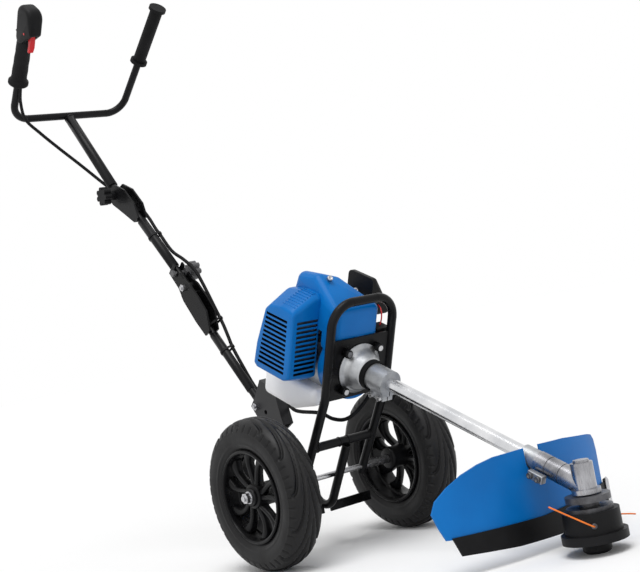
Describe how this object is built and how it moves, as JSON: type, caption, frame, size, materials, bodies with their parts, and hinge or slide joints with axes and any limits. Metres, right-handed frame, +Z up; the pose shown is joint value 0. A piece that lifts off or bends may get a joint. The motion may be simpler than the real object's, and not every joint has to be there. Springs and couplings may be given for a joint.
{
  "type": "wheeled string trimmer",
  "caption": "Two-wheeled walk-behind string trimmer: engine on a tube frame, sloping drive tube to a bump-feed line head with guard, folding handle with throttle grip.",
  "frame": {"origin": "foot of the line head axis on the ground, at the middle of the bump knob", "axes": "+X forward from handle to head, +Y to the operator's left, +Z up"},
  "size_m": [1.3758, 0.4104, 1.1672],
  "materials": {
    "tyre_rubber": "matt moulded rubber",
    "rim_plastic": "satin black",
    "frame_paint": "black powder coat",
    "handle_paint": "black powder coat",
    "bracket_paint": "grey paint",
    "zinc_steel": "zinc plated",
    "cast_alloy": "cast, bead blasted",
    "tube_alloy": "drawn, polished",
    "inner_steel": "machined",
    "blue_plastic": "moulded blue",
    "black_plastic": "moulded black",
    "grey_plastic": "moulded grey",
    "red_plastic": "moulded red",
    "grip_rubber": "soft matt",
    "tank_plastic": "translucent white",
    "line_nylon": "orange nylon"
  },
  "bodies": {
    "chassis": {"frame_hoop": "frame_paint", "engine_plate": "frame_paint", "lower_brace": "frame_paint", "spine_tube": "frame_paint", "step_bars": "frame_paint", "base_bracket": "bracket_paint", "axle": "zinc_steel", "base_bolt": "zinc_steel", "fasteners": "zinc_steel", "clutch_housing": "cast_alloy", "rubber_isolator": "grip_rubber", "tube_clamp": "cast_alloy", "drive_tube": "tube_alloy", "fan_housing": "blue_plastic", "crankcase": "cast_alloy", "engine_cylinder": "cast_alloy", "muffler": "inner_steel", "muffler_cover": "blue_plastic", "cylinder_cover": "blue_plastic", "recoil_housing": "black_plastic", "recoil_handle": "black_plastic", "fuel_tank": "tank_plastic", "carburettor": "cast_alloy", "air_filter_cover": "black_plastic", "gear_case": "cast_alloy", "guard": "blue_plastic", "guard_skirt": "black_plastic", "line_cutter": "zinc_steel", "guard_bracket": "cast_alloy"},
    "wheel_right": {"tyre_right": "tyre_rubber", "rim_right": "rim_plastic"},
    "wheel_left": {"tyre_left": "tyre_rubber", "rim_left": "rim_plastic"},
    "line_head": {"bevel_gear": "inner_steel", "head_flange": "inner_steel", "head_body": "black_plastic", "spool": "black_plastic", "trimmer_line": "line_nylon"},
    "bump": {"bump_knob": "black_plastic"},
    "drive": {"clutch_drum": "inner_steel", "drive_shaft": "inner_steel"},
    "crank": {"crankshaft": "inner_steel", "flywheel": "cast_alloy", "clutch_shoes": "inner_steel"},
    "handle_low": {"lower_stem": "handle_paint", "mid_bolt": "zinc_steel", "cable_frame": "grip_rubber"},
    "handle_mid": {"mid_stem": "handle_paint"},
    "handle_top": {"upper_stem": "handle_paint", "handlebar": "handle_paint", "throttle_grip": "black_plastic", "plain_grip": "grip_rubber", "cable_handle": "grip_rubber"},
    "knob_mid": {"star_knob_mid": "grey_plastic"},
    "knob_top": {"star_knob_upper": "black_plastic"},
    "trigger": {"throttle_trigger": "red_plastic"},
    "lock_lever": {"throttle_lock": "black_plastic"},
    "stop": {"stop_switch": "red_plastic"},
    "cap": {"fuel_cap": "black_plastic"},
    "choke": {"choke_lever": "black_plastic"}
  },
  "joints": [
    {"name": "wheel_right_spin", "type": "hinge", "parent": "chassis", "child": "wheel_right", "pos_m": [-0.6, 0, 0.135], "axis": [0, 1, 0], "continuous": true},
    {"name": "wheel_left_spin", "type": "hinge", "parent": "chassis", "child": "wheel_left", "pos_m": [-0.6, 0, 0.135], "axis": [0, 1, 0], "continuous": true},
    {"name": "head_spin", "type": "hinge", "parent": "chassis", "child": "line_head", "pos_m": [0, 0, 0.05], "axis": [0, 0, 1], "continuous": true, "deforming": ["trimmer_line"]},
    {"name": "bump_press", "type": "slide", "parent": "line_head", "child": "bump", "axis": [0, 0, 1], "range_m": [0, 0.005], "stiffness_N_per_m": 6000, "springref_m": -0.01},
    {"name": "drive_spin", "type": "hinge", "parent": "chassis", "child": "drive", "pos_m": [-0.27189, 0, 0.22579], "axis": [-0.9063, 0, 0.4226], "continuous": true},
    {"name": "crank_spin", "type": "hinge", "parent": "chassis", "child": "crank", "pos_m": [-0.50753, 0, 0.33567], "axis": [-0.9063, 0, 0.4226], "continuous": true},
    {"name": "base_tilt", "type": "hinge", "parent": "chassis", "child": "handle_low", "pos_m": [-0.785, 0, 0.274], "axis": [0, 1, 0], "range_deg": [-25, 0], "deforming": ["cable_frame"]},
    {"name": "mid_fold", "type": "hinge", "parent": "handle_low", "child": "handle_mid", "pos_m": [-0.96002, 0, 0.53002], "axis": [0, 1, 0], "range_deg": [0, 110], "deforming": ["cable_frame"]},
    {"name": "upper_tilt", "type": "hinge", "parent": "handle_mid", "child": "handle_top", "pos_m": [-1.16597, 0, 0.75941], "axis": [0, 1, 0], "range_deg": [-40, 20], "deforming": ["cable_handle"]},
    {"name": "mid_knob_turn", "type": "hinge", "parent": "handle_mid", "child": "knob_mid", "pos_m": [-0.98706, 0, 0.56281], "axis": [0, 1, 0], "continuous": true},
    {"name": "upper_knob_turn", "type": "hinge", "parent": "handle_mid", "child": "knob_top", "pos_m": [-1.16597, 0, 0.75941], "axis": [0, 1, 0], "continuous": true},
    {"name": "trigger_pull", "type": "hinge", "parent": "handle_top", "child": "trigger", "pos_m": [-1.13224, -0.15218, 1.10813], "axis": [0.0518, 0.9976, 0.0467], "range_deg": [0, 15], "stiffness_Nm_per_rad": 0.1, "springref_deg": -17.19},
    {"name": "lock_press", "type": "hinge", "parent": "handle_top", "child": "lock_lever", "pos_m": [-1.16107, -0.15149, 1.12524], "axis": [0.0518, 0.9976, 0.0467], "range_deg": [-4, 0], "stiffness_Nm_per_rad": 0.1, "springref_deg": 17.19},
    {"name": "stop_slide", "type": "slide", "parent": "handle_top", "child": "stop", "axis": [0.7413, -0.0698, 0.6675], "range_m": [0, 0.006]},
    {"name": "cap_turn", "type": "hinge", "parent": "chassis", "child": "cap", "pos_m": [-0.65041, 0, 0.3416], "axis": [0.4226, 0, 0.9063], "continuous": true},
    {"name": "choke_swing", "type": "hinge", "parent": "chassis", "child": "choke", "pos_m": [-0.52049, 0.046, 0.43329], "axis": [-0.9063, 0, 0.4226], "range_deg": [0, 28]}
  ],
  "couplings": [
    {"joint": "drive_spin", "follows": "head_spin", "ratio": 2.1111}
  ]
}
